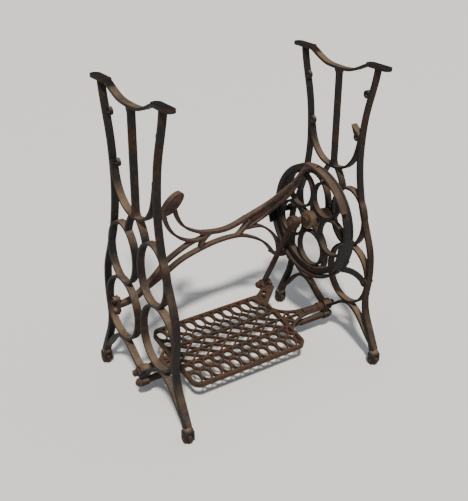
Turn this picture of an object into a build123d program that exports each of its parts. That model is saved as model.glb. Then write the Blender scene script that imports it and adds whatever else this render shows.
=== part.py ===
from build123d import *

import os
from math import cos, radians, sin

os.makedirs("parts", exist_ok=True)

# Cast-iron treadle base of a sewing table. Millimetres, +Z up.
# X runs across the base (drive wheel at +X), -Y is the operator's side,
# the origin is on the floor midway between the two side castings.

# ---- driving dimensions ----
HEIGHT = 710.0
FRAME_X = 261.0          # middle of each side casting
DEPTH = 16.5             # depth of the side castings along X
RIB = 5.6                # thickness of the cast ribbons
FACE_X = FRAME_X - DEPTH / 2
OUTER_X = FRAME_X + DEPTH / 2
PAD_Z = 703.0
PAD_WIDE = 23.0
FOOT_Y = 183.0
PIVOT_Z = 78.0           # treadle rocking axis
TIE_Z = 50.0             # tie rod under the treadle
WHEEL_Z = 328.0
WHEEL_R = 133.0
RIM_IN = 119.0
WHEEL_X0 = 196.0
WHEEL_X1 = 214.0
AXLE_R = 8.0
RUN_FIT = 0.05           # radial clearance of every running fit
CRANK_R = 23.4
CRANK_ANGLE = -20.0
CRANK_Y = CRANK_R * cos(radians(CRANK_ANGLE))
CRANK_Z = WHEEL_Z + CRANK_R * sin(radians(CRANK_ANGLE))
HUB_R = 21.0
HUB_X0 = 186.0
TREADLE_TILT = 12.0
PITMAN_X = 165.0
LUG_S = 137.0            # pitman pin, measured along the treadle from its axis
BRACE_Y0 = 126.0
BRACE_Y1 = 142.0
GUARD_IN = 138.0
GUARD_OUT = 143.0
CASTER_R = 13.0
CASTER_GAP = 5.2         # half the slot in which each foot wheel turns
CHEEK_X = 10.5           # outer face of the foot's cheeks, from its middle
LUG_DEPTH = 8.0          # the lugs are thinner than the casting, flush with its inner face
LUG_R = 9.0
SCREW_R = 3.2
BOLT_R = 3.0
BOLT_BORE_R = 3.4
TREADLE_BORE_R = 5.2
FLANGE = 6.0             # bolted feet of the brace and the guard
ARM_END_X = 248.5        # outer ends of the treadle arms
TIE_THICK_R = 8.0
TIE_THICK_X = 182.0      # outwards from here the tie rod is thicker
TIE_R = 5.5
TIE_BORE_R = 5.7

# ---- centre lines of one half of a side casting, as (y, z) ----
UPRIGHT = [(121, 702), (112.5, 660), (101.5, 620), (93, 580), (88, 530), (87.5, 480),
           (92, 440), (100, 400), (113, 360), (129, 320), (143, 280), (147, 240),
           (145, 200), (139.5, 160), (140, 140), (147, 115)]
LOWER_LEG = [(139.8, 170), (139.8, 152), (142, 134), (147.5, 114), (158, 90), (170, 63), (181, 38)]
TOP_RAIL = [(116, 706.4), (108, 706.5), (100, 706.4), (92, 705), (80, 699.5), (60, 690), (40, 683),
            (20, 680.5), (0, 680)]
U_LOOP = [(0, 449), (20, 450.5), (40, 457.5), (60, 474), (72, 492), (80, 515), (87, 545)]
LINK = [(14, 449), (22, 438), (32, 420), (37, 402)]
ARCH = [(0, 80), (20, 87), (40, 101), (65, 119), (88, 124), (112, 114), (134, 94), (154, 71),
        (174, 52)]
UPPER_OVAL = (63.5, 343.0, 53.5, 70.0)
LOWER_OVAL = (77.0, 202.0, 65.0, 74.0)


def ribbon(points, width, side=1):
    with BuildLine(Plane.XY) as path:
        Spline(*[(side * u, v) for u, v in points])
    trace(path.edges(), line_width=width)


def tapered(points, start, finish, side=1):
    # a ribbon whose width grows evenly from start to finish
    with BuildLine(Plane.XY):
        middle = Spline(*[(side * u, v) for u, v in points], mode=Mode.PRIVATE)
    edges = {1: [], -1: []}
    for step in range(7):
        place = middle @ (step / 6)
        along = middle % (step / 6)
        half = (start + (finish - start) * step / 6) / 2
        for hand in (1, -1):
            edges[hand].append((place.X - hand * half * along.Y, place.Y + hand * half * along.X))
    with BuildLine(Plane.XY) as outline:
        Spline(*edges[1])
        Spline(*edges[-1])
        Line(edges[1][0], edges[-1][0])
        Line(edges[1][-1], edges[-1][-1])
    make_face(outline.edges())


def oval_ring(centre_y, centre_z, half_y, half_z, width):
    with Locations((centre_y, centre_z)):
        Ellipse(half_y + width / 2, half_z + width / 2)
        Ellipse(half_y - width / 2, half_z - width / 2, mode=Mode.SUBTRACT)


def disc(y, z, radius, mode=Mode.ADD):
    with Locations((y, z)):
        Circle(radius, mode=mode)


DRAWER_LUGS = [(99, 643), (77, 541)]
BRACE_LUGS = [(134, 162), (134, 190)]
GUARD_LUGS = [(137.5, 298), (-141, 206)]


def side_outline(spur):
    for side in (1, -1):
        oval_ring(side * UPPER_OVAL[0], *UPPER_OVAL[1:], RIB)
        oval_ring(side * LOWER_OVAL[0], *LOWER_OVAL[1:], RIB)
    for side in (1, -1):
        ribbon(UPRIGHT, RIB, side)
        tapered(LOWER_LEG, RIB, 14.0, side)
        ribbon(TOP_RAIL, 6.2, side)
        ribbon(U_LOOP, RIB, side)
        ribbon(LINK, RIB, side)
        ribbon(ARCH, 7.0, side)
    with Locations((0, 565)):
        Rectangle(6.0, 232)
    with Locations((0, 456)):
        Trapezoid(17, 12, 65)
    with Locations((0, 672)):
        Trapezoid(17, 12, 65, rotation=180)
    disc(0, PIVOT_Z, 14)
    disc(0, TIE_Z, 11)
    with Locations((0, (PIVOT_Z + TIE_Z) / 2)):
        Rectangle(14, PIVOT_Z - TIE_Z)
    if spur:
        Polygon((-68, 546), (-58, 566), (-78, 552), align=None)


def side_holes():
    disc(0, PIVOT_Z, TREADLE_BORE_R, Mode.SUBTRACT)
    disc(0, TIE_Z, TIE_BORE_R, Mode.SUBTRACT)


def lugs(x_low, places, bore):
    # the bore is cut again through whatever ribbon the lug stands against
    for y, z in places:
        with BuildSketch(Plane.YZ.offset(x_low)) as lug:
            disc(y, z, LUG_R)
        extrude(lug.sketch, amount=LUG_DEPTH)
    for y, z in places:
        with BuildSketch(Plane.YZ.offset(x_low - DEPTH)) as lug_bore:
            disc(y, z, bore)
        extrude(lug_bore.sketch, amount=3 * DEPTH, mode=Mode.SUBTRACT)


def foot(middle_x):
    # a rounded knuckle and two cheeks hold each iron wheel
    with Locations((middle_x, FOOT_Y, 29), (middle_x, -FOOT_Y, 29)):
        Sphere(12.8)
    with BuildSketch(Plane.YZ.offset(middle_x - CHEEK_X)) as cheeks:
        for side in (1, -1):
            with Locations((side * FOOT_Y, 22)):
                Rectangle(20, 18)
            disc(side * FOOT_Y, CASTER_R + 1, 10)
    extrude(cheeks.sketch, amount=2 * CHEEK_X)
    with BuildSketch(Plane.YZ.offset(middle_x - CASTER_GAP)) as slot:
        for side in (1, -1):
            with Locations((side * FOOT_Y, 13.5)):
                Rectangle(40, 29)
    extrude(slot.sketch, amount=2 * CASTER_GAP, mode=Mode.SUBTRACT)
    with BuildSketch(Plane.YZ.offset(middle_x - 15)) as pin_bore:
        for side in (1, -1):
            disc(side * FOOT_Y, CASTER_R, 2.6)
    extrude(pin_bore.sketch, amount=30, mode=Mode.SUBTRACT)


def pads(middle_x):
    with BuildSketch(Plane.XY.offset(PAD_Z)) as pad:
        for side in (1, -1):
            with Locations((middle_x, side * 122)):
                Rectangle(PAD_WIDE, 46)
            with Locations((middle_x, side * 145)):
                Circle(PAD_WIDE / 2)
            with Locations((middle_x, side * 99)):
                Circle(PAD_WIDE / 2)
            with Locations((middle_x, side * 143)):
                Circle(3.0, mode=Mode.SUBTRACT)
    extrude(pad.sketch, amount=HEIGHT - PAD_Z)


def bosses(x_low, length, places):
    for y, z, radius, bore in places:
        with BuildSketch(Plane.YZ.offset(x_low)) as boss:
            disc(y, z, radius)
            disc(y, z, bore, Mode.SUBTRACT)
        extrude(boss.sketch, amount=length)


# ---- left side casting ----
with BuildPart() as left_frame:
    with BuildSketch(Plane.YZ.offset(-OUTER_X)):
        side_outline(False)
        side_holes()
    extrude(amount=DEPTH)
    foot(-FRAME_X)
    pads(-FRAME_X)
    bosses(-OUTER_X - 2.5, DEPTH + 5, [(0, PIVOT_Z, 14, TREADLE_BORE_R)])
    lugs(-FACE_X - LUG_DEPTH, [(side * y, z) for y, z in DRAWER_LUGS for side in (1, -1)], SCREW_R)
    lugs(-FACE_X - LUG_DEPTH, BRACE_LUGS, BOLT_BORE_R)
left_frame.part.label = "left_frame"
export_step(left_frame.part, "parts/left_frame.step")

# ---- right side casting, with the boss that carries the drive wheel ----
with BuildPart() as right_frame:
    with BuildSketch(Plane.YZ.offset(FACE_X)):
        side_outline(True)
        disc(0, WHEEL_Z, 18)
        side_holes()
        disc(0, WHEEL_Z, AXLE_R + 0.2, Mode.SUBTRACT)
    extrude(amount=DEPTH)
    foot(FRAME_X)
    pads(FRAME_X)
    bosses(FACE_X - 2.5, DEPTH + 5, [(0, PIVOT_Z, 14, TREADLE_BORE_R)])
    lugs(FACE_X, [(side * y, z) for y, z in DRAWER_LUGS for side in (1, -1)], SCREW_R)
    lugs(FACE_X, BRACE_LUGS + GUARD_LUGS, BOLT_BORE_R)
right_frame.part.label = "right_frame"
export_step(right_frame.part, "parts/right_frame.step")

# ---- feet: iron wheels on riveted pins ----
for name, x, y in (("left_front", -1, -1), ("left_back", -1, 1),
                   ("right_front", 1, -1), ("right_back", 1, 1)):
    with BuildPart() as caster:
        with BuildSketch(Plane.YZ.offset(x * FRAME_X - 4.5)):
            disc(y * FOOT_Y, CASTER_R, CASTER_R)
            disc(y * FOOT_Y, CASTER_R, 2.5 + RUN_FIT, Mode.SUBTRACT)
        extrude(amount=9)
        chamfer(caster.edges().filter_by(GeomType.CIRCLE).sort_by(SortBy.RADIUS)[-2:], 1.2)
    caster.part.label = "caster_wheel_" + name
    export_step(caster.part, "parts/caster_wheel_" + name + ".step")

with BuildPart() as caster_pins:
    for x in (-FRAME_X, FRAME_X):
        with BuildSketch(Plane.YZ.offset(x - CHEEK_X - 1)):
            for side in (1, -1):
                disc(side * FOOT_Y, CASTER_R, 2.5)
        extrude(amount=2 * CHEEK_X + 2)
        for x_low in (x - CHEEK_X - 1.5, x + CHEEK_X):
            with BuildSketch(Plane.YZ.offset(x_low)):
                for side in (1, -1):
                    disc(side * FOOT_Y, CASTER_R, 4.2)
            extrude(amount=1.5)
caster_pins.part.label = "caster_pins"
export_step(caster_pins.part, "parts/caster_pins.step")

# ---- back brace: two crossing strands between the side castings ----
UPPER_STRAND = [(-26, 300), (0.8, 294.6), (27.7, 291), (54.6, 291.5), (81.5, 297), (109, 306)]
UPPER_CURL = [(-92, 376), (-84, 350), (-68.5, 327), (-45.5, 311), (-22, 300.5), (0.8, 295)]
LOWER_CURL = [(-121, 376), (-116.5, 350), (-105, 325.4), (-87.7, 306), (-64.6, 291),
              (-40, 283), (-16, 286), (4, 294)]
LOW_BAND = [(-186, 191), (-150, 208), (-107, 229), (-88, 239), (-49, 252), (-18.5, 259),
            (12, 264), (43, 266), (74, 265), (92, 262), (112, 255), (135, 244), (158, 229),
            (177, 210), (190, 192), (200, 180)]
LEFT_BAND = [(-186, 197), (-150, 222), (-118, 250), (-88, 266), (-62, 277), (-40, 283)]
CROSS_LEFT = [(4, 293), (-10, 284), (-20, 272), (-24, 259)]
CROSS_RIGHT = [(80, 264), (92, 272), (104, 283), (118, 298)]
OUTER_ARC = [(98, 279), (112, 278), (130, 277), (147, 274), (166, 264), (185, 247),
             (200, 227), (208, 208), (211, 190), (212, 178)]
LEFT_END = [(-249, 176), (-226, 177), (-204, 183), (-184, 194), (-160, 211), (-138, 226)]
RIGHT_END = [(186, 194), (198, 184), (214, 178), (232, 176), (249, 176)]
FORWARD_STRAND = [(104, 134, 304.5), (132, 132, 315), (153, 124, 327), (167, 108, 345),
                  (175, 86, 368), (181, 62, 393), (185, 38, 420), (186, 25, 438), (186, 10, 455),
                  (186, -8, 465), (186, -28, 466)]
SECOND_STRAND = [(112, 134, 279), (134, 133, 286), (152, 127, 297), (163, 112, 315),
                 (170, 92, 337), (178, 66, 366), (183, 46, 392), (186, 34, 414),
                 (186, 24, 438)]
WEB_STRAND = [(108, 134, 292), (133, 133, 300.5), (152.5, 126, 312), (165, 110, 330),
              (172.8, 88.6, 352), (179.2, 64.4, 379), (183, 48, 399)]


def swept_strand(points, thick, deep, corner=2.0):
    with BuildLine() as path:
        rail = Spline(*points)
    start = Plane(origin=rail @ 0, x_dir=(0, 1, 0), z_dir=rail % 0)
    with BuildSketch(start) as section:
        RectangleRounded(deep, thick, corner)
    sweep(section.sketch, path=path.line)


with BuildPart() as back_brace:
    with BuildSketch(Plane.XZ.offset(-BRACE_Y1)):
        ribbon(UPPER_STRAND, 8.0)
        ribbon(UPPER_CURL, 6.0)
        ribbon(LOWER_CURL, 6.0)
        ribbon(LOW_BAND, 6.0)
        ribbon(LEFT_BAND, 6.0)
        ribbon(CROSS_LEFT, 6.0)
        ribbon(CROSS_RIGHT, 6.0)
        ribbon(OUTER_ARC, 5.4)
        ribbon(LEFT_END, 11.0)
        ribbon(RIGHT_END, 9.0)
        with Locations((-97, 391)):
            Ellipse(33, 14.5, rotation=40)
    extrude(amount=BRACE_Y1 - BRACE_Y0)
    swept_strand(FORWARD_STRAND, 8.0, 14.0)
    swept_strand(SECOND_STRAND, 6.0, 11.0)
    swept_strand(WEB_STRAND, 16.0, 5.0, 0.8)
    with BuildSketch(Plane.YZ.offset(179.0)) as arc:
        disc(0, WHEEL_Z, GUARD_OUT)
        disc(0, WHEEL_Z, GUARD_IN, Mode.SUBTRACT)
        with Locations((-80, WHEEL_Z + 130)):
            Rectangle(170, 134, mode=Mode.INTERSECT)
    extrude(arc.sketch, amount=14)
    for x in (-FACE_X, FACE_X - FLANGE):
        with BuildSketch(Plane.YZ.offset(x)) as flange:
            with Locations((134, 176)):
                RectangleRounded(20, 48, 9)
            for y, z in BRACE_LUGS:
                disc(y, z, BOLT_BORE_R, Mode.SUBTRACT)
        extrude(flange.sketch, amount=FLANGE)
back_brace.part.label = "back_brace"
export_step(back_brace.part, "parts/back_brace.step")

# ---- guard round the lower half of the wheel ----


def band(x_low, x_high, start, finish):
    with BuildSketch(Plane.YZ.offset(x_low)) as arc_band:
        with BuildLine(Plane.XY):
            outer = CenterArc((0, WHEEL_Z), GUARD_OUT, start, finish - start)
            inner = CenterArc((0, WHEEL_Z), GUARD_IN, start, finish - start)
            Line(outer @ 0, inner @ 0)
            Line(outer @ 1, inner @ 1)
        make_face()
    extrude(arc_band.sketch, amount=x_high - x_low)


with BuildPart() as wheel_guard:
    band(190, 212, 205, 352)
    band(180, 212, 338, 352)
    band(166, 208, 181, 214)
    band(180, 198, 158, 182)
    with BuildSketch(Plane.YZ.offset(FACE_X - FLANGE)) as guard_feet:
        for y, z in GUARD_LUGS:
            disc(y, z, LUG_R + 1)
        for y, z in GUARD_LUGS:
            disc(y, z, BOLT_BORE_R, Mode.SUBTRACT)
    extrude(guard_feet.sketch, amount=FLANGE)
    with BuildSketch(Plane.YZ.offset(206)) as strut:
        disc(137.5, 298, 7)
    extrude(strut.sketch, amount=FACE_X - 6 - 206)
    with BuildLine() as bracket_path:
        bracket = Spline((206, -112, 241), (222, -120, 236), (240, -132, 222), (248.5, -141, 207))
    with BuildSketch(Plane(origin=bracket @ 0, x_dir=(0, 0, 1), z_dir=bracket % 0)) as bar:
        RectangleRounded(14, 7, 2)
    sweep(bar.sketch, path=bracket_path.line)
    with BuildSketch(Plane.YZ.offset(160)) as clear_rim:
        disc(0, WHEEL_Z, GUARD_IN - 0.5)
    extrude(clear_rim.sketch, amount=80, mode=Mode.SUBTRACT)
    with BuildSketch(Plane.YZ.offset(FACE_X - 12)) as reopen:
        for y, z in GUARD_LUGS:
            disc(y, z, BOLT_BORE_R)
    extrude(reopen.sketch, amount=14, mode=Mode.SUBTRACT)
    with BuildSketch(Plane.YZ.offset(FACE_X)) as face_cut:
        with Locations((0, 250)):
            Rectangle(400, 300)
    extrude(face_cut.sketch, amount=20, mode=Mode.SUBTRACT)
wheel_guard.part.label = "wheel_guard"
export_step(wheel_guard.part, "parts/wheel_guard.step")

# ---- bolts that hold the brace and the guard ----


def hex_bolts(x_head, direction, grip, places):
    # head on the inner side, shank through the joint, and a peened end on the lug's far side
    for y, z in places:
        with BuildSketch(Plane.YZ.offset(x_head)) as head:
            with Locations((y, z)):
                RegularPolygon(6.4, 6)
        extrude(head.sketch, amount=-direction * 4.5)
        with BuildSketch(Plane.YZ.offset(x_head)) as shank:
            disc(y, z, BOLT_R)
        extrude(shank.sketch, amount=direction * grip)
        with BuildSketch(Plane.YZ.offset(x_head + direction * grip)) as peened:
            disc(y, z, BOLT_R)
        extrude(peened.sketch, amount=direction * 2, taper=30)


with BuildPart() as brace_bolts:
    hex_bolts(-FACE_X + FLANGE, -1, LUG_DEPTH + FLANGE, BRACE_LUGS)
    hex_bolts(FACE_X - FLANGE, 1, LUG_DEPTH + FLANGE, BRACE_LUGS)
brace_bolts.part.label = "brace_bolts"
export_step(brace_bolts.part, "parts/brace_bolts.step")

# ---- stub axle, its sleeve and its nut ----
with BuildPart() as wheel_axle:
    with BuildSketch(Plane.YZ.offset(HUB_X0 - 4)):
        disc(0, WHEEL_Z, AXLE_R)
    extrude(amount=OUTER_X + 14 - HUB_X0 + 4)
    with BuildSketch(Plane.YZ.offset(HUB_X0 - 7.5)):
        disc(0, WHEEL_Z, 12)
    extrude(amount=7.0)
    chamfer(wheel_axle.edges().filter_by(GeomType.CIRCLE).sort_by(Axis.X)[0], 1.5)
wheel_axle.part.label = "wheel_axle"
export_step(wheel_axle.part, "parts/wheel_axle.step")

with BuildPart() as axle_sleeve:
    with BuildSketch(Plane.YZ.offset(WHEEL_X1 + 1)):
        disc(0, WHEEL_Z, HUB_R)
    with BuildSketch(Plane.YZ.offset(FACE_X)):
        disc(0, WHEEL_Z, 16)
    loft()
    with BuildSketch(Plane.YZ.offset(WHEEL_X1)):
        disc(0, WHEEL_Z, AXLE_R)
    extrude(amount=60, mode=Mode.SUBTRACT)
axle_sleeve.part.label = "axle_sleeve"
export_step(axle_sleeve.part, "parts/axle_sleeve.step")

with BuildPart() as axle_nut:
    with BuildSketch(Plane.YZ.offset(OUTER_X)):
        with Locations((0, WHEEL_Z)):
            RegularPolygon(13.5, 6)
            Circle(AXLE_R, mode=Mode.SUBTRACT)
    extrude(amount=9)
axle_nut.part.label = "axle_nut"
export_step(axle_nut.part, "parts/axle_nut.step")

# ---- drive wheel: grooved rim, five looped petals, hub and crank boss ----
LOOP_PLACE_R = 75.5      # from the axle to the middle of each loop
LOOP_R = 45.0
LOOP_IN = 39.5

with BuildPart() as drive_wheel:
    with BuildSketch(Plane.YZ.offset(WHEEL_X0)) as rim:
        disc(0, WHEEL_Z, WHEEL_R)
        disc(0, WHEEL_Z, RIM_IN, Mode.SUBTRACT)
    extrude(rim.sketch, amount=WHEEL_X1 - WHEEL_X0)
    with BuildSketch(Plane.YZ.offset(WHEEL_X0 + 2.5)) as petals:
        with Locations((0, WHEEL_Z)):
            with PolarLocations(LOOP_PLACE_R, 5, start_angle=54):
                Circle(LOOP_R)
            with PolarLocations(LOOP_PLACE_R, 5, start_angle=54):
                Circle(LOOP_IN, mode=Mode.SUBTRACT)
        for spoke in range(5):
            angle = 90 + 72 * spoke
            with Locations((43 * cos(radians(angle)), WHEEL_Z + 43 * sin(radians(angle)))):
                Rectangle(44, 8, rotation=angle)
    extrude(petals.sketch, amount=13)
    with BuildSketch(Plane.YZ.offset(HUB_X0)) as hub:
        disc(0, WHEEL_Z, HUB_R)
    extrude(hub.sketch, amount=WHEEL_X1 - HUB_X0)
    with BuildSketch(Plane.YZ.offset(176.0)) as crank:
        disc(CRANK_Y, CRANK_Z, 9)
    extrude(crank.sketch, amount=WHEEL_X0 + 4 - 176)
    with BuildSketch(Plane.YZ.offset(HUB_X0 - 12)) as bore:
        disc(0, WHEEL_Z, AXLE_R + RUN_FIT)
    extrude(bore.sketch, amount=42, mode=Mode.SUBTRACT)
    with Locations(Location((WHEEL_X0 + 9, 0, WHEEL_Z), (0, 90, 0))):
        Torus(WHEEL_R + 1.0, 5.0, mode=Mode.SUBTRACT)
drive_wheel.part.label = "drive_wheel"
export_step(drive_wheel.part, "parts/drive_wheel.step")

# ---- treadle, tipped up at the back about its rocking axis ----
TILT = radians(TREADLE_TILT)
TREADLE = Plane(origin=(0, 0, PIVOT_Z), x_dir=(1, 0, 0), z_dir=(0, -sin(TILT), cos(TILT)))
PLATE_LEFT = -185.0
PLATE_RIGHT = 128.0
PLATE_FRONT = -97.0
PLATE_BACK = 104.0
PLATE_MID = ((PLATE_LEFT + PLATE_RIGHT) / 2, (PLATE_FRONT + PLATE_BACK) / 2)
PLATE_SIZE = (PLATE_RIGHT - PLATE_LEFT, PLATE_BACK - PLATE_FRONT)
PLATE_MID_S = PLATE_MID[1]
RIM_WIDE = 6.0
LATTICE_RIB = 3.4
OVAL_PITCH = 26.5
OVAL_FIRST = -169.0
OVAL_ROWS = [(76.5, 18.8), (44.5, 14.0)]     # distance from the middle, half height
STAR_PITCH = 37.5
STAR_FIRST = -169.0
RAIL_S = 29.5
LUG_Y = LUG_S * cos(TILT)
LUG_Z = PIVOT_Z + LUG_S * sin(TILT)


def arm(points):
    with BuildLine(Plane.XY) as outline:
        upper = Spline(*points)
        lower = Spline(*[(u, -v) for u, v in points])
        Line(upper @ 0, lower @ 0)
        Line(upper @ 1, lower @ 1)
    make_face(outline.edges())


def oval_chain():
    # two chains of touching ovals along each long edge
    half = OVAL_PITCH / 2 + 0.4
    for mode, inset in ((Mode.ADD, 0.0), (Mode.SUBTRACT, LATTICE_RIB)):
        for distance, half_high in OVAL_ROWS:
            for side in (1, -1):
                for column in range(12):
                    u = OVAL_FIRST + column * OVAL_PITCH
                    with Locations((u, PLATE_MID_S + side * distance)):
                        Ellipse(half - inset, half_high - inset, mode=mode)
    with Locations(PLATE_MID):
        RectangleRounded(*PLATE_SIZE, 20, mode=Mode.INTERSECT)


def stars():
    # crossed ribs between three rails
    for distance in (-RAIL_S, 0, RAIL_S):
        with Locations((PLATE_MID[0], PLATE_MID_S + distance)):
            Rectangle(PLATE_SIZE[0] - 4, LATTICE_RIB + 0.4)
    half = STAR_PITCH / 2
    for column in range(8):
        u = STAR_FIRST + column * STAR_PITCH
        for side in (1, -1):
            for hand in (1, -1):
                with BuildLine(Plane.XY) as cross:
                    Line((u - hand * half, PLATE_MID_S), (u + hand * half, PLATE_MID_S + side * RAIL_S))
                trace(cross.edges(), line_width=LATTICE_RIB)
    with Locations(PLATE_MID):
        Rectangle(PLATE_SIZE[0] - 4, PLATE_SIZE[1] - 4, mode=Mode.INTERSECT)


def fan_openings(places):
    for outline in places:
        for side in (1, -1):
            Polygon(*[(u, side * v) for u, v in outline], align=None, mode=Mode.SUBTRACT)


RIGHT_ARM = [(118, 62), (126, 47), (143, 28), (175, 14), (205, 10), (240, 9)]
LEFT_ARM = [(-175, 62), (-184, 47), (-199, 28), (-214, 16), (-226, 11), (-240, 9)]
RIGHT_FAN = [[(131, 7), (131, 33), (145, 20)], [(135, 2), (147, 2), (147, 15)],
             [(151, 2), (151, 16.5), (170, 9), (170, 2)]]
LEFT_FAN = [[(-189, 7), (-189, 31), (-201, 19)], [(-193, 2), (-205, 2), (-205, 13)]]

with BuildPart() as treadle:
    with BuildSketch(TREADLE.offset(-5)) as ovals:
        oval_chain()
    extrude(ovals.sketch, amount=8)
    with BuildSketch(TREADLE.offset(-5)) as crossed:
        stars()
    extrude(crossed.sketch, amount=8)
    with BuildSketch(TREADLE.offset(-9)) as rim_band:
        with Locations(PLATE_MID):
            RectangleRounded(*PLATE_SIZE, 20)
            RectangleRounded(PLATE_SIZE[0] - 2 * RIM_WIDE, PLATE_SIZE[1] - 2 * RIM_WIDE, 15,
                             mode=Mode.SUBTRACT)
    extrude(rim_band.sketch, amount=12)
    for outline, openings in ((RIGHT_ARM, RIGHT_FAN), (LEFT_ARM, LEFT_FAN)):
        with BuildSketch(TREADLE.offset(-5)) as arm_plate:
            arm(outline)
            fan_openings(openings)
            with Locations((PLATE_MID[0], PLATE_MID_S)):
                Rectangle(PLATE_SIZE[0] - 2 * RIM_WIDE, PLATE_SIZE[1], mode=Mode.SUBTRACT)
        extrude(arm_plate.sketch, amount=8)
    with BuildSketch(TREADLE.offset(-6)) as lug_arm:
        Polygon((98, 98), (122, 60), (180, 110), (180, 122), (150, 122), (120, 103), align=None)
        with Locations((129, 88)):
            Ellipse(6.5, 7.5, mode=Mode.SUBTRACT)
        with Locations((143, 103)):
            Ellipse(7.5, 5.5, rotation=35, mode=Mode.SUBTRACT)
    extrude(lug_arm.sketch, amount=10)
    for x in (150.0, 172.7):
        with BuildSketch(Plane.YZ.offset(x)) as ear:
            with BuildLine(Plane.XY):
                CenterArc((LUG_Y, LUG_Z), 9, TREADLE_TILT - 90, 180)
                Line((LUG_Y + 9 * sin(TILT), LUG_Z - 9 * cos(TILT)),
                     (LUG_Y - 20 * cos(TILT) + 9 * sin(TILT), LUG_Z - 20 * sin(TILT) - 9 * cos(TILT)))
                Line((LUG_Y - 9 * sin(TILT), LUG_Z + 9 * cos(TILT)),
                     (LUG_Y - 20 * cos(TILT) - 9 * sin(TILT), LUG_Z - 20 * sin(TILT) + 9 * cos(TILT)))
                Line((LUG_Y - 20 * cos(TILT) + 9 * sin(TILT), LUG_Z - 20 * sin(TILT) - 9 * cos(TILT)),
                     (LUG_Y - 20 * cos(TILT) - 9 * sin(TILT), LUG_Z - 20 * sin(TILT) + 9 * cos(TILT)))
            make_face()
            disc(LUG_Y, LUG_Z, 5.0, Mode.SUBTRACT)
        extrude(ear.sketch, amount=7.3)
    for x, length, radius in ((-ARM_END_X, 16, 11), (ARM_END_X - 16, 16, 11),
                              (-236, 22, 8.5), (188, 46, 8.5)):
        with BuildSketch(Plane.YZ.offset(x)) as boss_end:
            disc(0, PIVOT_Z, radius)
        extrude(boss_end.sketch, amount=length)
    for x in (-ARM_END_X, ARM_END_X - 12):
        with BuildSketch(Plane.YZ.offset(x)) as pivot_bore:
            disc(0, PIVOT_Z, 5.0 + RUN_FIT)
        extrude(pivot_bore.sketch, amount=12, mode=Mode.SUBTRACT)
treadle.part.label = "treadle"
export_step(treadle.part, "parts/treadle.step")

with BuildPart() as lug_pin:
    with BuildSketch(Plane.YZ.offset(147.0)):
        disc(LUG_Y, LUG_Z, 5.0)
    extrude(amount=37)
    with BuildSketch(Plane.YZ.offset(145.0)):
        with Locations((LUG_Y, LUG_Z)):
            RegularPolygon(8.5, 6)
    extrude(amount=5.0)
    with BuildSketch(Plane.YZ.offset(180.0)):
        with Locations((LUG_Y, LUG_Z)):
            RegularPolygon(8.5, 6, rotation=30)
    extrude(amount=6.0)
lug_pin.part.label = "treadle_lug_bolt"
export_step(lug_pin.part, "parts/treadle_lug_bolt.step")

# ---- pitman rod between the treadle lug and the crank ----
with BuildPart() as pitman:
    with BuildSketch(Plane.YZ.offset(PITMAN_X - 4.5)) as rod:
        with BuildLine(Plane.XY) as rod_line:
            Line((LUG_Y, LUG_Z), (CRANK_Y, CRANK_Z))
        trace(rod_line.edges(), line_width=11)
    extrude(rod.sketch, amount=9)
    with BuildSketch(Plane.YZ.offset(PITMAN_X - 7)) as eye:
        disc(LUG_Y, LUG_Z, 11.5)
    extrude(eye.sketch, amount=14)
    with BuildSketch(Plane.YZ.offset(PITMAN_X - 8)) as strap:
        disc(CRANK_Y, CRANK_Z, 16)
    extrude(strap.sketch, amount=16)
    with BuildSketch(Plane.YZ.offset(PITMAN_X - 10)) as holes:
        disc(LUG_Y, LUG_Z, 5.0 + RUN_FIT)
        disc(CRANK_Y, CRANK_Z, 10.5)
    extrude(holes.sketch, amount=20, mode=Mode.SUBTRACT)
pitman.part.label = "pitman_rod"
export_step(pitman.part, "parts/pitman_rod.step")

with BuildPart() as pitman_bearing:
    with BuildSketch(Plane.YZ.offset(PITMAN_X - 9.5)):
        disc(CRANK_Y, CRANK_Z, 10.5)
    extrude(amount=19.9)
    chamfer(pitman_bearing.edges().filter_by(GeomType.CIRCLE).sort_by(Axis.X)[0], 1.0)
pitman_bearing.part.label = "pitman_bearing"
export_step(pitman_bearing.part, "parts/pitman_bearing.step")

with BuildPart() as pitman_screw:
    with BuildSketch(Plane.YZ.offset(PITMAN_X - 14)):
        with Locations((CRANK_Y, CRANK_Z)):
            RegularPolygon(6.5, 6)
    extrude(amount=4.5)
pitman_screw.part.label = "pitman_top_screw"
export_step(pitman_screw.part, "parts/pitman_top_screw.step")

# ---- screws on which the treadle rocks, and the tie rod below it ----
with BuildPart() as pivot_screws:
    for direction in (1, -1):
        with BuildSketch(Plane.YZ.offset(direction * 238)) as screw:
            disc(0, PIVOT_Z, 5.0)
        extrude(screw.sketch, amount=direction * (OUTER_X + 14 - 238))
        with BuildSketch(Plane.YZ.offset(direction * (OUTER_X + 10))) as screw_head:
            with Locations((0, PIVOT_Z)):
                Rectangle(11, 11)
        extrude(screw_head.sketch, amount=direction * 7)
pivot_screws.part.label = "treadle_pivot_screws"
export_step(pivot_screws.part, "parts/treadle_pivot_screws.step")

with BuildPart() as pivot_nuts:
    for direction in (1, -1):
        with BuildSketch(Plane.YZ.offset(direction * (OUTER_X + 2.5))) as lock_nut:
            with Locations((0, PIVOT_Z)):
                RegularPolygon(10.5, 6)
                Circle(5.0, mode=Mode.SUBTRACT)
        extrude(lock_nut.sketch, amount=direction * 6)
pivot_nuts.part.label = "treadle_lock_nuts"
export_step(pivot_nuts.part, "parts/treadle_lock_nuts.step")

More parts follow.
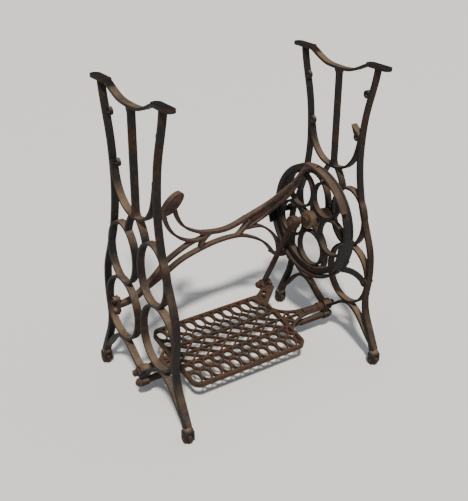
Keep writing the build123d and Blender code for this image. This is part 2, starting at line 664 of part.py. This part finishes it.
with BuildPart() as tie_rod:
    with BuildSketch(Plane.YZ.offset(-OUTER_X - 11)):
        disc(0, TIE_Z, TIE_R)
    extrude(amount=2 * OUTER_X + 22)
    for x_low in (-FACE_X, TIE_THICK_X):
        with BuildSketch(Plane.YZ.offset(x_low)):
            disc(0, TIE_Z, TIE_THICK_R)
        extrude(amount=FACE_X - TIE_THICK_X)
tie_rod.part.label = "tie_rod"
export_step(tie_rod.part, "parts/tie_rod.step")

with BuildPart() as tie_nuts:
    for direction in (1, -1):
        with BuildSketch(Plane.YZ.offset(direction * OUTER_X)) as tie_nut:
            with Locations((0, TIE_Z)):
                RegularPolygon(10.0, 6)
                Circle(TIE_R, mode=Mode.SUBTRACT)
        extrude(tie_nut.sketch, amount=direction * 7)
tie_nuts.part.label = "tie_rod_nuts"
export_step(tie_nuts.part, "parts/tie_rod_nuts.step")

# ---- bolts of the guard's two feet ----
with BuildPart() as guard_bolts:
    for y, z in GUARD_LUGS:
        with BuildSketch(Plane.YZ.offset(FACE_X - 8)) as guard_shank:
            disc(y, z, BOLT_R)
        extrude(guard_shank.sketch, amount=DEPTH + 14)
        with BuildSketch(Plane.YZ.offset(OUTER_X)) as guard_nut:
            with Locations((y, z)):
                RegularPolygon(6.4, 6)
        extrude(guard_nut.sketch, amount=4.5)
guard_bolts.part.label = "guard_bolts"
export_step(guard_bolts.part, "parts/guard_bolts.step")
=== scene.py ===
from math import cos, radians, sin

import bpy
from mathutils import Matrix, Vector


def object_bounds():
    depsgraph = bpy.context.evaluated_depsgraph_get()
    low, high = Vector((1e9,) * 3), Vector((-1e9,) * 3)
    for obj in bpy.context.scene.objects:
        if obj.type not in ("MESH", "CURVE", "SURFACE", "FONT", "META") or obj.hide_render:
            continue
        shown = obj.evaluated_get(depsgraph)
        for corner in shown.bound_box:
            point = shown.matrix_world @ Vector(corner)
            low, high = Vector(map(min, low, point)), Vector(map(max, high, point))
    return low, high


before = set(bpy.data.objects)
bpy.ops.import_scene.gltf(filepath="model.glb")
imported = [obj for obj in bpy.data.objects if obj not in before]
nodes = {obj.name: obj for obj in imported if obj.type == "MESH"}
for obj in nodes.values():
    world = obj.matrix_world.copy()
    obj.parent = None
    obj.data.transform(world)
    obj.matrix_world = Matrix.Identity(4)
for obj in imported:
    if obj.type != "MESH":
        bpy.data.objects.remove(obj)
cad_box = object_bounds()

# ---- camera: a standing viewer, in front of the left casting ----
AZIMUTH = radians(-34.86)
ELEVATION = radians(26.34)
ROLL = radians(0.39)
DISTANCE = 1.8979
TARGET = Vector((-0.0303, -0.0149, 0.3150))
LENS = 61.74
SENSOR = 36.0

# ---- floor and light ----
FLOOR_SIZE = 60.0
FLOOR_COLOUR = (0.93, 0.905, 0.860, 1.0)
LAMP_DISTANCE = 3.0
KEY_TOWARD = (-0.36, -0.54, 0.76)
KEY_STRENGTH = 4.3
KEY_SPREAD = radians(5.0)
KEY_COLOUR = (1.0, 0.960, 0.900)
FILL_TOWARD = (0.85, -0.45, 0.45)
FILL_POWER = 6.0
FILL_SIZE = 2.6
FILL_COLOUR = (0.90, 0.94, 1.0)
SKY_COLOUR = (0.80, 0.86, 0.95, 1.0)
SKY_STRENGTH = 0.31

# ---- colours of the iron, linear ----
BLACK_PAINT = (0.0085, 0.0080, 0.0085)
BROWN_PAINT = (0.0200, 0.0145, 0.0135)
DARK_RUST = (0.0360, 0.0190, 0.0125)
MAUVE_RUST = (0.0640, 0.0360, 0.0310)
RED_RUST = (0.0680, 0.0300, 0.0195)
# tan: dust colour, also painted top light on faces turned up, as if lit from above
TAN_DUST_AND_TOP_LIGHT = (0.1850, 0.1280, 0.0860)
# olive: rust colour of the sleeve and rubbed hub colour; on the treadle's upward faces it is dust with
# painted top light
OLIVE_DUST = (0.1130, 0.0760, 0.0460)

# ---- surface of the iron, metres and texture scales per metre ----
PAD_LEVEL = 0.699        # the pads' tops: no dust and no painted top light above this level
PAD_BLUR = 0.003
PATCH_SCALE = 14.0
MOTTLE_SCALE = 85.0
GRAIN_SCALE = 620.0
PIT_SCALE = 260.0
EDGE_RADIUS = 0.0016
HUB_INNER = 0.080        # share of the wheel's width that is all hub
HUB_OUTER = 0.092
SPECULAR = 0.13
WELD_DISTANCE = 0.00002
BEVEL_SEGMENTS = 3
SHARP_ANGLE = radians(32.0)


def make_camera():
    back = Vector((sin(AZIMUTH) * cos(ELEVATION), -cos(AZIMUTH) * cos(ELEVATION), sin(ELEVATION)))
    right = Vector((cos(AZIMUTH), sin(AZIMUTH), 0.0))
    up = back.cross(right)
    turned_right = cos(ROLL) * right + sin(ROLL) * up
    turned_up = cos(ROLL) * up - sin(ROLL) * right
    data = bpy.data.cameras.new("camera")
    data.lens = LENS
    data.sensor_width = SENSOR
    camera = bpy.data.objects.new("camera", data)
    camera.matrix_world = Matrix.Translation(TARGET + back * DISTANCE) @ Matrix(
        (turned_right, turned_up, back)).transposed().to_4x4()
    bpy.context.scene.collection.objects.link(camera)
    bpy.context.scene.camera = camera


def make_lamp(name, kind, toward, power, colour):
    data = bpy.data.lights.new(name, kind)
    data.energy = power
    data.color = colour
    lamp = bpy.data.objects.new(name, data)
    direction = Vector(toward).normalized()
    lamp.location = TARGET + direction * LAMP_DISTANCE
    lamp.rotation_mode = "QUATERNION"
    lamp.rotation_quaternion = direction.to_track_quat("Z", "Y")
    bpy.context.scene.collection.objects.link(lamp)
    return data


def make_sky():
    world = bpy.data.worlds.new("studio")
    world.use_nodes = True
    sky = world.node_tree.nodes["Background"]
    sky.inputs["Color"].default_value = SKY_COLOUR
    sky.inputs["Strength"].default_value = SKY_STRENGTH
    bpy.context.scene.world = world


def make_floor():
    bpy.ops.mesh.primitive_plane_add(size=FLOOR_SIZE, location=(0.0, 0.0, cad_box[0].z))
    floor = bpy.context.object
    floor.name = "floor"
    material = bpy.data.materials.new("pale_floor")
    material.use_nodes = True
    shader = material.node_tree.nodes["Principled BSDF"]
    shader.inputs["Base Color"].default_value = FLOOR_COLOUR
    shader.inputs["Roughness"].default_value = 0.9
    floor.data.materials.append(material)


# ---- node helpers ----
class Graph:
    """Short names for the shader nodes that the irons share."""

    def __init__(self, material):
        self.tree = material.node_tree
        self.shader = self.tree.nodes["Principled BSDF"]
        self.place = self.tree.nodes.new("ShaderNodeTexCoord").outputs["Object"]

    def link(self, value, socket):
        if isinstance(value, bpy.types.NodeSocket):
            self.tree.links.new(value, socket)
        else:
            socket.default_value = value

    def noise(self, scale, detail=6.0, roughness=0.6):
        node = self.tree.nodes.new("ShaderNodeTexNoise")
        self.link(self.place, node.inputs["Vector"])
        node.inputs["Scale"].default_value = scale
        node.inputs["Detail"].default_value = detail
        node.inputs["Roughness"].default_value = roughness
        return node.outputs["Fac"]

    def cells(self, scale):
        node = self.tree.nodes.new("ShaderNodeTexVoronoi")
        self.link(self.place, node.inputs["Vector"])
        node.inputs["Scale"].default_value = scale
        return node.outputs["Distance"]

    def ramp(self, value, low, high, to_low=0.0, to_high=1.0):
        node = self.tree.nodes.new("ShaderNodeMapRange")
        node.interpolation_type = "SMOOTHSTEP"
        self.link(value, node.inputs["Value"])
        for name, number in (("From Min", low), ("From Max", high),
                             ("To Min", to_low), ("To Max", to_high)):
            node.inputs[name].default_value = number
        return node.outputs["Result"]

    def maths(self, operation, first, second):
        node = self.tree.nodes.new("ShaderNodeMath")
        node.operation = operation
        self.link(first, node.inputs[0])
        self.link(second, node.inputs[1])
        return node.outputs[0]

    def mix(self, factor, first, second):
        node = self.tree.nodes.new("ShaderNodeMix")
        node.data_type = "RGBA"
        self.link(factor, node.inputs["Factor"])
        for value, socket in ((first, node.inputs["A"]), (second, node.inputs["B"])):
            colour = value if isinstance(value, bpy.types.NodeSocket) else (*value, 1.0)
            self.link(colour, socket)
        return node.outputs["Result"]

    def facing_up(self):
        split = self.tree.nodes.new("ShaderNodeSeparateXYZ")
        geometry = self.tree.nodes.new("ShaderNodeNewGeometry")
        self.link(geometry.outputs["Normal"], split.inputs[0])
        return split.outputs["Z"]

    def height(self):
        split = self.tree.nodes.new("ShaderNodeSeparateXYZ")
        self.link(self.place, split.inputs[0])
        return split.outputs["Z"]

    def near_axle(self, inner, outer):
        # the wheel is round about its axle, so the middle of its own box is the axle
        split = self.tree.nodes.new("ShaderNodeSeparateXYZ")
        self.link(self.tree.nodes.new("ShaderNodeTexCoord").outputs["Generated"], split.inputs[0])
        across = self.maths("SUBTRACT", split.outputs["Y"], 0.5)
        above = self.maths("SUBTRACT", split.outputs["Z"], 0.5)
        squared = self.maths("ADD", self.maths("MULTIPLY", across, across),
                             self.maths("MULTIPLY", above, above))
        return self.ramp(squared, outer * outer, inner * inner)

    def edges(self, radius):
        bevel = self.tree.nodes.new("ShaderNodeBevel")
        bevel.inputs["Radius"].default_value = radius
        geometry = self.tree.nodes.new("ShaderNodeNewGeometry")
        dot = self.tree.nodes.new("ShaderNodeVectorMath")
        dot.operation = "DOT_PRODUCT"
        self.link(bevel.outputs["Normal"], dot.inputs[0])
        self.link(geometry.outputs["Normal"], dot.inputs[1])
        return self.ramp(dot.outputs["Value"], 0.995, 0.90)

    def bump(self, height, strength, distance, under=None):
        node = self.tree.nodes.new("ShaderNodeBump")
        node.inputs["Strength"].default_value = strength
        node.inputs["Distance"].default_value = distance
        self.link(height, node.inputs["Height"])
        if under is not None:
            self.link(under, node.inputs["Normal"])
        return node.outputs["Normal"]


def iron(name, base, rust, dust_and_top_light, rusted, dusty_and_lit, worn=0.55, no_top_colour_above=None, hub=None):
    """Old cast iron: what is left of its paint, rust in patches, worn edges, dust on top together with
    painted top light.

    rusted, worn and the amount of dust and painted top light run from 0 to 1. Neither dust nor painted
    top light lies above the given height, and hub is the rubbed colour round the axle of the wheel.
    """
    material = bpy.data.materials.new(name)
    material.use_nodes = True
    g = Graph(material)
    patches = g.noise(PATCH_SCALE, 7.0, 0.62)
    mottle = g.noise(MOTTLE_SCALE, 8.0, 0.7)
    grain = g.noise(GRAIN_SCALE, 4.0, 0.6)
    pits = g.ramp(g.cells(PIT_SCALE), 0.05, 0.42)
    spread = g.maths("ADD", patches, g.maths("MULTIPLY", g.maths("SUBTRACT", mottle, 0.5), 0.75))
    rust_mask = g.ramp(spread, 0.62 - 0.34 * rusted, 0.78 - 0.30 * rusted)
    deep = g.mix(g.ramp(mottle, 0.36, 0.66), tuple(c * 0.55 for c in rust), rust)
    colour = g.mix(rust_mask, g.mix(mottle, base, tuple(c * 1.7 for c in base)), deep)
    edge = g.maths("MULTIPLY", g.edges(EDGE_RADIUS), g.ramp(mottle, 0.38, 0.62, 0.15, worn))
    colour = g.mix(edge, colour, tuple(c * 1.35 for c in rust))
    # painted top light and dust: faces turned up get the lighter top colour, as if lit from above,
    # partly broken into dust patches by the noise
    dust_and_top_light_mask = g.ramp(g.facing_up(), 0.15, 0.9)
    dust_and_top_light_mask = g.maths("MULTIPLY", dust_and_top_light_mask, g.ramp(g.maths("ADD", spread, 0.05), 0.30, 0.70, 0.35, dusty_and_lit))
    if no_top_colour_above is not None:
        below = g.ramp(g.height(), no_top_colour_above + PAD_BLUR, no_top_colour_above - PAD_BLUR)
        dust_and_top_light_mask = g.maths("MULTIPLY", dust_and_top_light_mask, below)
    colour = g.mix(dust_and_top_light_mask, colour, dust_and_top_light)
    if hub is not None:
        rubbed = g.maths("MULTIPLY", g.near_axle(HUB_INNER, HUB_OUTER),
                         g.ramp(spread, 0.25, 0.65, 0.45, 1.0))
        colour = g.mix(rubbed, colour, hub)
    colour = g.mix(g.ramp(pits, 0.0, 0.5, 0.35, 0.0), colour, tuple(c * 0.4 for c in base))
    g.link(colour, g.shader.inputs["Base Color"])
    matt = g.maths("ADD", g.ramp(spread, 0.35, 0.75, 0.46, 0.80), g.maths("MULTIPLY", grain, 0.12))
    g.link(matt, g.shader.inputs["Roughness"])
    g.shader.inputs["Metallic"].default_value = 0.0
    g.shader.inputs["Specular IOR Level"].default_value = SPECULAR
    soft = g.bump(mottle, 0.55, 0.0011)
    soft = g.bump(pits, 0.40, 0.0005, soft)
    g.link(g.bump(grain, 0.45, 0.0004, soft), g.shader.inputs["Normal"])
    return material


def soften(node, width):
    """Rounded cast edges: the corners of a casting are never sharp."""
    weld = node.modifiers.new("weld", "WELD")
    weld.merge_threshold = WELD_DISTANCE
    bevel = node.modifiers.new("bevel", "BEVEL")
    bevel.width = width
    bevel.segments = BEVEL_SEGMENTS
    bevel.limit_method = "ANGLE"
    bevel.angle_limit = SHARP_ANGLE
    bevel.use_clamp_overlap = True
    bevel.harden_normals = True
    for polygon in node.data.polygons:
        polygon.use_smooth = True


def dress(material, width, *names):
    for name in names:
        nodes[name].data.materials.clear()
        nodes[name].data.materials.append(material)
        soften(nodes[name], width)


make_camera()
make_floor()
key = make_lamp("key", "SUN", KEY_TOWARD, KEY_STRENGTH, KEY_COLOUR)
key.angle = KEY_SPREAD
fill = make_lamp("fill", "AREA", FILL_TOWARD, FILL_POWER, FILL_COLOUR)
fill.size = FILL_SIZE
make_sky()

frame_iron = iron("frame_iron", BLACK_PAINT, DARK_RUST, TAN_DUST_AND_TOP_LIGHT, 0.48, 0.85, 0.5, PAD_LEVEL)
brace_iron = iron("brace_iron", BROWN_PAINT, MAUVE_RUST, TAN_DUST_AND_TOP_LIGHT, 0.80, 0.55, 0.5)
wheel_iron = iron("wheel_iron", BLACK_PAINT, DARK_RUST, TAN_DUST_AND_TOP_LIGHT, 0.38, 0.40, 0.5, hub=OLIVE_DUST)
guard_iron = iron("guard_iron", BLACK_PAINT, DARK_RUST, TAN_DUST_AND_TOP_LIGHT, 0.20, 0.15, 0.35)
treadle_iron = iron("treadle_iron", BROWN_PAINT, RED_RUST, OLIVE_DUST, 0.68, 0.42, 0.6)
sleeve_iron = iron("sleeve_iron", DARK_RUST, OLIVE_DUST, TAN_DUST_AND_TOP_LIGHT, 0.95, 0.70, 0.5)
rod_iron = iron("rod_iron", BROWN_PAINT, DARK_RUST, TAN_DUST_AND_TOP_LIGHT, 0.70, 0.30, 0.6)
caster_iron = iron("caster_iron", BROWN_PAINT, DARK_RUST, TAN_DUST_AND_TOP_LIGHT, 0.75, 0.20, 0.6)
rusty_bolts = iron("rusty_bolts", BROWN_PAINT, RED_RUST, TAN_DUST_AND_TOP_LIGHT, 0.70, 0.30, 0.7)

dress(frame_iron, 0.0013, "left_frame", "right_frame")
dress(brace_iron, 0.0013, "back_brace")
dress(guard_iron, 0.0008, "wheel_guard")
dress(wheel_iron, 0.0010, "drive_wheel")
dress(treadle_iron, 0.0010, "treadle")
dress(sleeve_iron, 0.0010, "axle_sleeve")
dress(rod_iron, 0.0012, "pitman_rod")
dress(rod_iron, 0.0005, "tie_rod")
dress(caster_iron, 0.0008, *(n for n in nodes if n.startswith("caster_wheel")))
dress(rusty_bolts, 0.0005, "caster_pins", "brace_bolts", "guard_bolts", "wheel_axle", "axle_nut",
      "treadle_pivot_screws", "treadle_lock_nuts", "tie_rod_nuts", "treadle_lug_bolt",
      "pitman_bearing", "pitman_top_screw")
